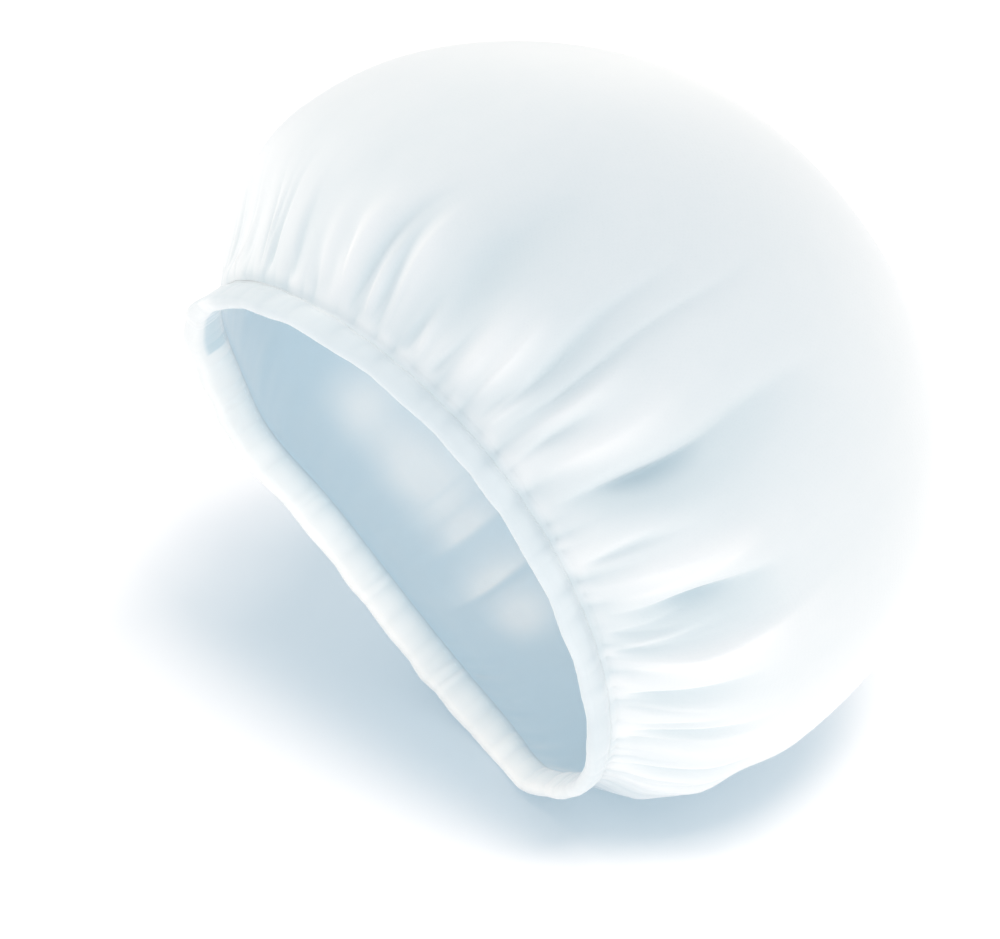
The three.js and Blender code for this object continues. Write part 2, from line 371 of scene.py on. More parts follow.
    def meridian(self, station: np.ndarray) -> tuple[np.ndarray, np.ndarray]:
        """The smooth crown's section.

        Args:
            station: heights on the crown, 0 at the seam and 1 at its top.

        Returns:
            Distances along the axis and radii, in mm.
        """
        left = np.clip(1.0 - station / self.belly_station, 0.0, 1.0)
        low_along = self.belly_at * (1.0 - left)
        swell = self.crown_radius - self.seam_radius
        low_radius = self.seam_radius + swell * (1.0 - left**self.neck_power)
        share = (station - self.belly_station) / (1.0 - self.belly_station)
        turn = np.clip(share, 0.0, 1.0) * (math.pi / 2)
        power = 2.0 / self.shoulder_power
        high_along = self.belly_at + (self.depth - self.belly_at) * np.sin(turn) ** power
        high_radius = self.crown_radius * np.maximum(np.cos(turn), 0.0) ** power
        below = station < self.belly_station
        return np.where(below, low_along, high_along), np.where(below, low_radius, high_radius)

    @cached_property
    def cloth_table(self) -> tuple[np.ndarray, np.ndarray]:
        """Heights on the crown, and mm of cloth from the seam to each."""
        stations = np.linspace(0.0, 1.0, 4001)
        along, radius = self.meridian(stations)
        steps = np.hypot(np.diff(along), np.diff(radius))
        return stations, np.concatenate([[0.0], np.cumsum(steps)])

    def station_at(self, from_seam: np.ndarray) -> np.ndarray:
        """Heights on the crown at each length of cloth from the seam, in mm."""
        stations, run = self.cloth_table
        return np.interp(from_seam, run, stations)

    def ditch_at(self, angle: np.ndarray) -> np.ndarray:
        """Mm forward of the seam where the crown goes under the hem at each angle."""
        forward, _ = along_rim(self.ditch, angle)
        puckers = self.gathers.pucker(0, angle) + self.gathers.pucker(1, angle + 7.0)
        return forward + self.ditch_push * (0.5 * puckers - self.pucker_mean)

    def rim_shift(self, angle: np.ndarray) -> np.ndarray:
        """How far the rim is set back toward the crown at each angle, in mm."""
        shift = self.rim_bend * np.cos(np.radians(2.0 * (angle - self.rim_bend_at)))
        for at, half, forward in self.rim_waves:
            shift = shift - forward * np.exp(-((turn_between(angle, at) / half) ** 2))
        return shift

    def fold_rise(self, angle: np.ndarray, from_seam: np.ndarray) -> np.ndarray:
        """Height of folds and gathers over the smooth crown, in mm.

        Args:
            angle: angles in degrees.
            from_seam: mm of cloth from the seam to each place, below zero in front of it.

        Returns:
            The rise at each place.
        """
        station = self.station_at(from_seam)
        wander = angle + self.wander * np.sin(0.11 * from_seam + np.radians(5.0 * angle))
        behind = np.maximum(from_seam + self.ditch_at(angle), 0.0)
        at, half, missing = self.slack
        gathered = 1.0 - missing * np.exp(-((turn_between(angle, at) / half) ** 2))
        mean = self.pucker_mean * smooth(0.0, self.even_from, behind)
        fine = sum(fold.height(wander, station) for fold in self.crinkles)
        for octave, (height, full, fades) in enumerate(self.gather_runs):
            run = smooth(0.0, full, behind) * np.exp(-np.maximum(behind - full, 0.0) / fades)
            fine = fine + height * run * (self.gathers.pucker(octave, wander) - mean)
        rise = self.ditch_lift * smooth(0.0, self.ditch_lift_run, behind) + gathered * fine
        return rise + sum(fold.height(wander, station) for fold in self.folds)

    def shade_in_ditch(self, angle: np.ndarray, forward: np.ndarray) -> np.ndarray:
        """How deep in shade the cloth lies in and beside the ditch, 0 to about 1.

        Args:
            angle: angles in degrees.
            forward: mm forward of the seam.

        Returns:
            The shade at each place.
        """
        near = np.exp(-(((forward - self.ditch_at(angle)) / self.ditch_width) ** 2))
        _, depth = along_rim(self.ditch, angle)
        open_to_shade = np.maximum(self.ditch_free - self.gathers.blend(angle, self.ditch_puckers), 0.0)
        return self.ditch_contrast * near * depth * open_to_shade**self.ditch_contrast

    def lay(self, along: np.ndarray, radius: np.ndarray, angle: np.ndarray) -> np.ndarray:
        """Lays points of the cap as worn on their side, sagged at the top and flattened at the floor.

        Args:
            along: mm along the axis from the seam.
            radius: mm from the axis.
            angle: angles in degrees.

        Returns:
            Points in mm, the floor at zero.
        """
        points = along[..., None] * self.axis + radius[..., None] * self.outward(angle)
        over = np.maximum(points[..., 2], 0.0) / self.sag_span
        height = points[..., 2] + self.seam_height - self.top_sag * over**3
        blend = self.press_blend
        pressed = (np.clip(height, -blend, blend) + blend) ** 2 / (4.0 * blend)
        points[..., 2] = np.where(height < blend, pressed, height)
        return points + self.shift

    def place(self, angle: np.ndarray, from_seam: np.ndarray, out: np.ndarray) -> np.ndarray:
        """Points of the cap.

        Args:
            angle: angles in degrees.
            from_seam: mm of cloth from the seam, below zero in front of it.
            out: mm out from the smooth crown, which runs straight on in front of the seam.

        Returns:
            Points in mm.
        """
        station = self.station_at(from_seam)
        along, radius = self.meridian(station)
        settled = 1.0 - np.minimum(station / self.rim_reach, 1.0)
        points = self.lay(along + self.rim_shift(angle) * settled**2, radius + out, angle)
        return points + np.minimum(from_seam, 0.0)[..., None] * self.axis

    def crown_out(self, angle: np.ndarray, from_seam: np.ndarray) -> np.ndarray:
        """Height of the crown's outer face over the smooth crown, in mm, with its folds and swellings."""
        station = self.station_at(from_seam)
        swell = sum(swelling.height(angle, station) for swelling in self.swellings)
        return self.fold_rise(angle, from_seam) + swell

    def crown_ring(self, angle: np.ndarray, from_seam: float) -> tuple[np.ndarray, np.ndarray]:
        """One ring of points on the crown's outer face.

        Args:
            angle: the ring's angles in degrees.
            from_seam: mm of cloth from the seam to the ring.

        Returns:
            Points in mm, and the painted crease tone at each: fold height, less painted shade in the ditch.
        """
        run = np.full_like(angle, from_seam)
        near_rim = math.exp(-max(from_seam, 0.0) / self.gather_reach)
        tone = self.fold_rise(angle, run) * (1.0 + self.gather_painted_shading * near_rim)
        tone = tone - self.ditch_shade * self.shade_in_ditch(angle, -run)
        return self.place(angle, run, self.crown_out(angle, run)), tone


class Wire:
    """A socket's output, on which Python's operators add Math nodes."""

    def __init__(self, graph: "Graph", socket: bpy.types.NodeSocket) -> None:
        """Keeps the graph and the socket."""
        self.graph = graph
        self.socket = socket

    def _math(self, operation: str, first: object, second: object) -> "Wire":
        """Adds one Math node on two values or wires."""
        return self.graph.add("ShaderNodeMath", {"operation": operation}, {0: first, 1: second})

    def __add__(self, other: object) -> "Wire":
        """Sum."""
        return self._math("ADD", self, other)

    __radd__ = __add__

    def __sub__(self, other: object) -> "Wire":
        """Difference."""
        return self._math("SUBTRACT", self, other)

    def __rsub__(self, other: object) -> "Wire":
        """Difference the other way round."""
        return self._math("SUBTRACT", other, self)

    def __mul__(self, other: object) -> "Wire":
        """Product."""
        return self._math("MULTIPLY", self, other)

    __rmul__ = __mul__


class Graph:
    """A material's or the world's node tree, with one method that adds any node."""

    def __init__(self, owner: bpy.types.Material | bpy.types.World) -> None:
        """Starts with an empty tree.

        Args:
            owner: the material or world that the tree belongs to.
        """
        owner.use_nodes = True
        self.tree = owner.node_tree
        self.tree.nodes.clear()

    def add(
        self, kind: str, settings: dict | None = None, inputs: dict | None = None, output: object = 0
    ) -> Wire:
        """Adds a node.

        Args:
            kind: the node's type.
            settings: properties set first.
            inputs: values or wires by socket name or number.
            output: the output to return, by name or number.

        Returns:
            The wire of that output.
        """
        node = self.tree.nodes.new(kind)
        for key, value in (settings or {}).items():
            setattr(node, key, value)
        for key, value in (inputs or {}).items():
            if isinstance(value, Wire):
                self.tree.links.new(value.socket, node.inputs[key])
            else:
                node.inputs[key].default_value = value
        return Wire(self, node.outputs[output])

    def mix(self, share: Wire, first: Triple | Wire, second: Triple | Wire) -> Wire:
        """Mixes two colours, of which share is the second's part."""
        one, other = (tone if isinstance(tone, Wire) else (*tone, 1.0) for tone in (first, second))
        return self.add("ShaderNodeMix", {"data_type": "RGBA"}, {"Factor": share, 6: one, 7: other}, 2)

    def ramp(self, value: Wire, low: float, high: float, shape: str = "SMOOTHSTEP") -> Wire:
        """Rises from 0 where the value is low to 1 where it is high."""
        inputs = {"Value": value, "From Min": low, "From Max": high}
        return self.add("ShaderNodeMapRange", {"interpolation_type": shape}, inputs)

    def noise(self, place: Wire, scale: float, detail: float, **more: float) -> Wire:
        """Cloudy noise from 0 to 1, with other inputs by their socket names."""
        inputs = {"Vector": place, "Scale": scale, "Detail": detail, **more}
        return self.add("ShaderNodeTexNoise", {}, inputs, "Fac")

    def relief(self, height: Wire, depth: float, strength: float) -> Wire:
        """Normals of a fine relief, from its height from 0 to 1 and its depth in mm."""
        inputs = {"Strength": strength, "Distance": depth * MM, "Height": height}
        return self.add("ShaderNodeBump", {}, inputs, "Normal")

    def finish(self, shader: Wire, kind: str = "ShaderNodeOutputMaterial") -> None:
        """Joins the shader to the tree's output node."""
        output = self.tree.nodes.new(kind)
        self.tree.links.new(shader.socket, output.inputs["Surface"])


@dataclass(frozen=True)
class NonwovenFinish:
    """Soft matte non-woven cloth: bonded fibres, a fine grid of bond points and a faint uneven tone.

    Attributes:
        name: the material's name.
        colour: the cloth's own colour, linear.
        shade: the painted shade colour in its creases, linear.
        roughness: mean roughness.
        bond_pitch: mm between bond points.
        fibre_pitch: mm across a fibre bundle.
        bump: height of the grain in mm.
        fuzz: weight of the fine fibre ends that catch light at a glancing angle.
        fold_height: mm from a fold's middle to its crest.
        deep: the painted shade colour where the painted light is low, if the piece has such places, linear.
        valley: the painted shade colour in its deepest valleys, if it has any, linear.
        valley_span: where that colour is full and where it begins, in fold heights.
    """

    name: str
    colour: Triple
    shade: Triple
    roughness: float = 0.9
    bond_pitch: float = 1.5
    fibre_pitch: float = 0.7
    bump: float = 0.05
    fuzz: float = 1.0
    fold_height: float = 3.0
    deep: Triple | None = None
    valley: Triple | None = None
    valley_span: tuple[float, float] = (-2.2, -0.9)

    def material(self) -> bpy.types.Material:
        """Builds the cloth's material, which reads the piece's flat cut as its UV map."""
        material = bpy.data.materials.new(self.name)
        graph = Graph(material)
        flat = graph.add("ShaderNodeUVMap", {"uv_map": "cut"}, {}, "UV")
        cloud = graph.noise(flat, 90.0, 4.0, Roughness=0.6)
        fibre = graph.noise(flat, 1.0 / (self.fibre_pitch * MM), 5.0, Distortion=1.6)
        bond = graph.add(
            "ShaderNodeTexVoronoi",
            {"feature": "F1"},
            {"Vector": flat, "Scale": 1.0 / (self.bond_pitch * MM), "Randomness": 0.25},
            "Distance",
        )
        pit = graph.ramp(bond, 0.12, 0.34, "LINEAR")
        grain = fibre * 0.6 + pit * 0.5
        # Painted shade and light: the fold attribute darkens creases toward the shade colour and lightens
        # crests
        rise = graph.add("ShaderNodeAttribute", {"attribute_name": "fold"}, {}, "Fac")
        crest = graph.ramp(rise, -self.fold_height, self.fold_height)
        tone = 0.78 * crest + cloud * 0.12 + fibre * 0.06 + pit * 0.04
        colour = graph.mix(tone, self.shade, self.colour)
        # Deeper painted shade in the deepest valleys
        if self.valley is not None:
            above = graph.ramp(rise, *(height * self.fold_height for height in self.valley_span))
            colour = graph.mix(above, self.valley, colour)
        # Painted light and shade: where the painted light attribute is low, the colour goes to the deep painted
        # shade
        if self.deep is not None:
            painted_light = graph.add("ShaderNodeAttribute", {"attribute_name": "painted_light"}, {}, "Fac")
            colour = graph.mix(0.92 * painted_light + 0.05 * cloud + 0.03 * fibre, self.deep, colour)
        shader = graph.add(
            "ShaderNodeBsdfPrincipled",
            {},
            {
                "Base Color": colour,
                "Roughness": self.roughness - 0.12 * fibre,
                "Normal": graph.relief(grain, self.bump, 0.5),
                "Specular IOR Level": 0.25,
                "Sheen Weight": self.fuzz,
                "Sheen Roughness": 0.45,
            },
        )
        graph.finish(shader)
        return material


@dataclass(frozen=True)
class ThreadFinish:
    """Twisted sewing thread or the covered elastic, striped by its twist, whose pitch is in mm."""

    name: str
    colour: Triple
    shade: Triple
    twist_pitch: float

    def material(self) -> bpy.types.Material:
        """Builds the thread's material on Object coordinates."""
        material = bpy.data.materials.new(self.name)
        graph = Graph(material)
        place = graph.add("ShaderNodeTexCoord", {}, {}, "Object")
        twist = graph.add(
            "ShaderNodeTexWave",
            {"wave_type": "BANDS", "bands_direction": "DIAGONAL"},
            {"Vector": place, "Scale": 0.3 / (self.twist_pitch * MM), "Distortion": 1.0, "Detail": 2.0},
            "Fac",
        )
        shader = graph.add(
            "ShaderNodeBsdfPrincipled",
            {},
            {
                "Base Color": graph.mix(twist, self.shade, self.colour),
                "Roughness": 0.75 - 0.15 * twist,
                "Normal": graph.relief(twist, 0.05, 0.4),
                "Specular IOR Level": 0.3,
            },
        )
        graph.finish(shader)
        return material


@dataclass(frozen=True)
class FloorFinish:
    """Plain pale table top, softly lit from within."""

    name: str = "pale_floor"
    colour: Triple = (0.6, 0.6, 0.6)
    glow: Triple = (0.228, 0.292, 0.338)

    def material(self) -> bpy.types.Material:
        """Builds the floor's material."""
        material = bpy.data.materials.new(self.name)
        graph = Graph(material)
        place = graph.add("ShaderNodeTexCoord", {}, {}, "Object")
        mottle = graph.noise(place, 3.0, 2.0)
        shader = graph.add(
            "ShaderNodeBsdfPrincipled",
            {},
            {
                "Base Color": (*self.colour, 1.0),
                "Roughness": 0.85 + 0.1 * mottle,
                "Specular IOR Level": 0.1,
                "Emission Color": (*self.glow, 1.0),
                "Emission Strength": 1.0,
            },
        )
        graph.finish(shader)
        return material


def mesh_object(
    name: str,
    points: np.ndarray,
    faces: list[tuple[int, ...]],
    materials: list[bpy.types.Material],
    cut: np.ndarray | None = None,
    tints: dict[str, np.ndarray] | None = None,
) -> bpy.types.Object:
    """Makes a smooth mesh object at the origin.

    Args:
        name: the piece's name.
        points: vertices in mm.
        faces: corner indices of each face.
        materials: its material slots in order.
        cut: each vertex's place on the flat cut in metres, kept as a UV map.
        tints: named values of each vertex that its materials read.

    Returns:
        The new object, linked to the scene.
    """
    mesh = bpy.data.meshes.new(name)
    mesh.from_pydata((points * MM).tolist(), [], faces)
    mesh.polygons.foreach_set("use_smooth", np.ones(len(mesh.polygons), bool))
    if cut is not None:
        layer = mesh.uv_layers.new(name="cut")
        corner = np.empty(len(mesh.loops), np.int32)
        mesh.loops.foreach_get("vertex_index", corner)
        layer.data.foreach_set("uv", cut[corner].astype(np.float32).ravel())
    for key, values in (tints or {}).items():
        tint = mesh.attributes.new(key, "FLOAT", "POINT")
        tint.data.foreach_set("value", values.astype(np.float32))
    for material in materials:
        mesh.materials.append(material)
    mesh.update()
    piece = bpy.data.objects.new(name, mesh)
    bpy.context.scene.collection.objects.link(piece)
    return piece


def bake_modifiers(piece: bpy.types.Object) -> None:
    """Turns a piece and its modifiers into a plain mesh."""
    graph = bpy.context.evaluated_depsgraph_get()
    mesh = bpy.data.meshes.new_from_object(piece.evaluated_get(graph), depsgraph=graph)
    old = piece.data
    piece.modifiers.clear()
    piece.data = mesh
    bpy.data.meshes.remove(old)
    mesh.name = piece.name


def bridge(faces: list[tuple[int, ...]], lower: np.ndarray, upper: np.ndarray) -> None:
    """Joins two rings of points with faces that point out of the cap.

    Args:
        faces: the list that the faces are added to.
        lower: indices of the ring nearer the opening.
        upper: indices of the next ring, as many, half as many, or one.
    """
    count = len(lower)
    after = np.roll(lower, -1)
    if len(upper) == 1:
        faces.extend(zip(lower.tolist(), [int(upper[0])] * count, after.tolist()))
    elif len(upper) == count:
        faces.extend(zip(lower.tolist(), upper.tolist(), np.roll(upper, -1).tolist(), after.tolist()))
    else:
        first, second, third = lower[0::2], lower[1::2], np.roll(lower[0::2], -1)
        near, far = upper, np.roll(upper, -1)
        faces.extend(zip(first.tolist(), near.tolist(), second.tolist()))
        faces.extend(zip(second.tolist(), near.tolist(), far.tolist()))
        faces.extend(zip(second.tolist(), far.tolist(), third.tolist()))


@dataclass
class Crown:
    """The puffed crown, one gathered sheet with a wall of even thickness."""

    form: CapForm
    cloth: NonwovenFinish
    lining: NonwovenFinish
    wall: float = 1.2
    segments: int = 960
    inner_easing: int = 36
    # Mm forward of the seam of the rings in front of it, the first under the hem
    front_rings: tuple[float, ...] = (3.3, 2.6, 1.9, 1.3, 0.7)
    # Rows of points: how many, up to which height on the crown, and segments to a point, 0 for the top's one
    # point
    zones: tuple[tuple[int, float, int], ...] = (
        (7, 0.03, 1), (10, 0.12, 1), (17, 0.45, 1), (14, 0.75, 2), (10, 0.97, 4), (1, 1.0, 0),
    )

    def rows(self) -> list[tuple[float, int]]:
        """Rings from the hem to the crown's top: mm of cloth from the seam, and how many points."""
        rows = [(-forward, self.segments) for forward in self.front_rings] + [(0.0, self.segments)]
        stations, run = self.form.cloth_table
        low = 0.0
        for count, high, share in self.zones:
            heights = low + (high - low) * np.arange(1, count + 1) / count
            points = self.segments // share if share else 1
            rows.extend((float(from_seam), points) for from_seam in np.interp(heights, stations, run))
            low = high
        return rows

    def build(self) -> bpy.types.Object:
        """Builds the crown as a closed wall with a finish on each face.

        Returns:
            The crown's object.
        """
        points: list[np.ndarray] = []
        cuts: list[np.ndarray] = []
        folds: list[np.ndarray] = []
        painted_lights: list[np.ndarray] = []
        rings: list[np.ndarray] = []
        length = self.form.cloth_table[1][-1]
        start = 0
        for from_seam, count in self.rows():
            angle = np.arange(count) * 360.0 / count
            ring, tone = self.form.crown_ring(angle, from_seam)
            station = self.form.station_at(np.full_like(angle, from_seam))
            turn = np.radians(angle)
            points.append(ring)
            # Painted shade and light that the cloth's colour reads: the crease tone, and the pools of painted
            # light
            folds.append(tone)
            painted_lights.append(np.minimum(sum(pool.height(angle, station) for pool in self.form.painted_light_pools), 1.0))
            cuts.append((length - from_seam) * MM * np.stack([np.cos(turn), np.sin(turn)], axis=-1))
            rings.append(np.arange(start, start + count))
            start += count
        faces: list[tuple[int, ...]] = []
        for lower, upper in zip(rings, rings[1:]):
            bridge(faces, lower, upper)
        piece = mesh_object(
            "crown_sheet",
            np.concatenate(points),
            faces,
            [self.cloth.material(), self.lining.material()],
            np.concatenate(cuts),
            {"fold": np.concatenate(folds), "painted_light": np.concatenate(painted_lights)},
        )
        wall = piece.modifiers.new("wall", "SOLIDIFY")
        wall.thickness = self.wall * MM
        wall.offset = -1.0
        wall.use_rim = True
        wall.material_offset = Side.INNER.value
        wall.material_offset_rim = Side.OUTER.value
        wall.shell_vertex_group = piece.vertex_groups.new(name="inner_face").name
        ease = piece.modifiers.new("ease", "SMOOTH")
        ease.factor = 0.5
        ease.iterations = self.inner_easing
        ease.vertex_group = wall.shell_vertex_group
        bake_modifiers(piece)
        return piece


@dataclass
class Hem:
    """The strip folded over the crown's edge and gathered on its elastic."""

    form: CapForm
    cloth: NonwovenFinish
    width: float = 10.0
    wall: float = 1.0
    edge_wall: float = 0.08
    gap: float = 0.06
    outer_sunk: float = 0.15
    inner_sunk: float = 0.8
    crown_wall: float = 1.2
    inner_edge: float = -1.4
    fold_half: float = 1.15
    puff: float = 0.9
    scallop: float = 0.6
    # Angles, and the painted light or shade on the strip there, from -1 to 1
    painted_tones: tuple[tuple[float, float], ...] = (
        (-60, 0.3), (-36, -1.1), (-16, -1.1), (-6, -0.1), (4, 0.5), (92, 0.5), (102, -0.3), (116, -0.4),
        (126, 0.2), (140, -1.1), (176, -1.1), (192, 0.2), (210, 0.5), (238, 0.4), (250, -0.3), (262, -0.3),
        (276, 0.4),
    )
    # How strongly painted shade marks the creases on each leg, the height of a crest that is neither light nor
    # dark, and the least share of the creases that the inner leg keeps
    outer_crease: float = 1.2
    outer_middle: float = 0.65
    inner_crease: float = 1.7
    inner_middle: float = 0.55
    inner_least: float = 0.4
    # The light at the inner leg's back edge, as a share of that at its front
    inner_light: float = 0.41
    # A part of the inner leg that lies in shade: from and to which angles, and the light left on it
    shaded: Triple = (130.0, 156.0, 0.04)
    # Degrees in which that shade begins, and to either side of its end; mm behind the hem's front edge where it
    # begins and where it is full
    shaded_edges: tuple[float, float] = (5.0, 0.5)
    shaded_from: tuple[float, float] = (2.0, 3.6)
    # Angles, and mm that the fold stands forward and out there
    flares: tuple[Triple, ...] = (
        (-60, 0.2, 0.0), (-35, 0.4, 0.0), (10, 0.5, 0.0), (60, 0.0, 0.0), (108, 0.0, 0.0), (126, 0.6, 1.0),
        (138, 1.3, 2.7), (150, 2.2, 3.1), (160, 2.7, 2.2), (172, 3.0, 1.2), (185, 2.9, 0.8),
        (205, 2.7, 0.5), (240, 2.7, 0.4), (266, 2.3, 0.3), (284, 0.4, 0.0),
    )
    # Weights of the puckers, from the finest, in the fold's bulge, in its scallops and in its painted shade
    bulge_puckers: tuple[float, ...] = (0.35, 0.45, 0.2)
    scallop_puckers: tuple[float, ...] = (0.2, 0.0, 1.6)
    crest_puckers: tuple[float, ...] = (0.35, 0.75)
    # Shares of a leg, from its back edge, in which it opens, in which it rises and in which its puckers begin
    leg_opens: float = 0.6
    leg_rises: float = 0.25
    leg_puckers: float = 0.2
    # How near its back edge the outer leg follows the crown's folds, 1 for the edge itself
    follows_from: float = 0.4
    # Mm of flat strip in each mm of the rim
    fullness: float = 2.4
    segments: int = 960
    arc_points: int = 13
    leg_points: int = 8

    def section(self, inside: bool) -> np.ndarray:
        """One face of the folded strip, from the outer leg's back edge round the fold to the inner leg's.

        Args:
            inside: the face within the fold, or else the face that shows.

        Returns:
            A row for each point: mm forward of the seam for an outer leg that starts there, mm out from the
            crown's outer face, how far puckers move it, and how far the ditch does.
        """
        middle = -self.crown_wall / 2
        pinch = self.crown_wall / 2 + self.gap + (0.0 if inside else self.edge_wall)
        half = self.fold_half + (0.0 if inside else self.wall)
        nose = self.width - (self.wall if inside else 0.0) - half
        share = np.linspace(0.0, 1.0, self.leg_points, endpoint=False)
        inner_leg = self.inner_edge + (nose - self.inner_edge) * share
        leg_half = pinch + (half - pinch) * smooth(0.0, self.leg_opens, share)
        sinks = 1.0 - smooth(0.0, self.leg_rises, share)
        leg_moved = smooth(0.0, self.leg_puckers, share) * (1.0 - 0.5 * smooth(0.3, 1.0, share))
        turn = np.linspace(math.pi / 2, -math.pi / 2, self.arc_points)
        forward = np.concatenate([nose * share, nose + half * np.cos(turn), inner_leg[::-1]])
        outer_half = leg_half - self.outer_sunk * sinks
        inner_half = leg_half - self.inner_sunk * sinks
        out = np.concatenate([outer_half, half * np.sin(turn), -inner_half[::-1]]) + middle
        moved = np.concatenate([leg_moved, 0.4 * np.sin(turn), -leg_moved[::-1]])
        back = np.concatenate([1.0 - share, np.zeros(len(turn) + len(share))])
        return np.stack([forward, out, moved, back], axis=-1)

    def surface(
        self, angle: np.ndarray, forward: float, out: float, moved: float, back: float
    ) -> np.ndarray:
        """A ring of the strip with its puckers and scallops.

        Args:
            angle: angles in degrees.
            forward: mm forward of the seam for an outer leg that starts there.
            out: mm out from the crown's outer face.
            moved: how far puckers open the fold there, below zero for the inner leg.
            back: how far the ring goes with the ditch, 1 at the outer leg's back edge.

        Returns:
            Points in mm.
        """
        gathers = self.form.gathers
        ditch = self.form.ditch_at(angle)
        bulge = self.puff * gathers.blend(angle, self.bulge_puckers)
        wave = self.scallop * (gathers.blend(angle, self.scallop_puckers) - sum(self.scallop_puckers) / 2)
        flare_forward, flare_out = along_rim(self.flares, angle)
        reach = min(max(forward / self.width, 0.0), 1.0) ** 2
        outer_side = smooth(-self.crown_wall - self.fold_half, 0.0, np.full_like(angle, out))
        follows = smooth(self.follows_from, 1.0, np.full_like(angle, back))
        forward_at = forward + back * ditch + reach * (wave + flare_forward)
        out_at = out + follows * self.form.crown_out(angle, -ditch) + moved * bulge
        return self.form.place(angle, -forward_at, out_at + reach * outer_side * flare_out)

    def build(self) -> bpy.types.Object:
        """Builds the hem as one closed ring.

        Returns:
            The hem's object.
        """
        section = np.concatenate([self.section(False), self.section(True)[::-1]])
        angle = np.arange(self.segments) * 360.0 / self.segments
        loops = [self.surface(angle, *values) for values in section]
        around = np.radians(angle) * self.form.seam_radius * self.fullness * MM
        steps = np.hypot(np.diff(section[:, 0]), np.diff(section[:, 1]))
        across = np.concatenate([[0.0], np.cumsum(steps)]) * MM
        cuts = [np.stack([around, np.full_like(around, a)], axis=-1) for a in across]
        corners = len(loops)
        rings = [np.arange(self.segments) + k * self.segments for k in range(corners)]
        faces: list[tuple[int, ...]] = []
        for k in range(corners):
            bridge(faces, rings[(k + 1) % corners], rings[k])
        # Painted shade and light: by angle, in the creases, in the ditch, and fading toward the inner leg's
        # back edge
        crest = self.form.gathers.blend(angle, self.crest_puckers)
        ditch = self.form.ditch_at(angle)
        (painted_tone,) = along_rim(self.painted_tones, angle)
        begins, ends, light = self.shaded
        fade_in, fade_out = self.shaded_edges
        ended = smooth(ends - fade_out, ends + fade_out, angle)
        in_shade = smooth(begins - fade_in, begins, angle) * (1.0 - ended)
        outer = np.arange(corners) < self.leg_points + self.arc_points // 2
        outer |= outer[::-1]
        folds: list[np.ndarray] = []
        painted_lights: list[np.ndarray] = []
        for (forward, _, moved, back), shows in zip(section, outer):
            if shows:
                shade = self.form.shade_in_ditch(angle, forward + back * ditch)
                folds.append(painted_tone + self.outer_crease * abs(moved) * (crest - self.outer_middle) - shade)
                painted_lights.append(np.ones_like(angle))
            else:
                strength = self.inner_crease * max(abs(moved), self.inner_least)
                folds.append(painted_tone + strength * (crest - self.inner_middle))
                painted_light = self.inner_light + (1.0 - self.inner_light) * max(forward, 0.0) / self.width
                depth = smooth(*self.shaded_from, self.width - forward)
                painted_lights.append(painted_light + (light - painted_light) * in_shade * depth)
        return mesh_object(
            "gathered_hem",
            np.concatenate(loops),
            faces,
            [self.cloth.material()],
            np.concatenate(cuts),
            {"fold": np.concatenate(folds), "painted_light": np.concatenate(painted_lights)},
        )


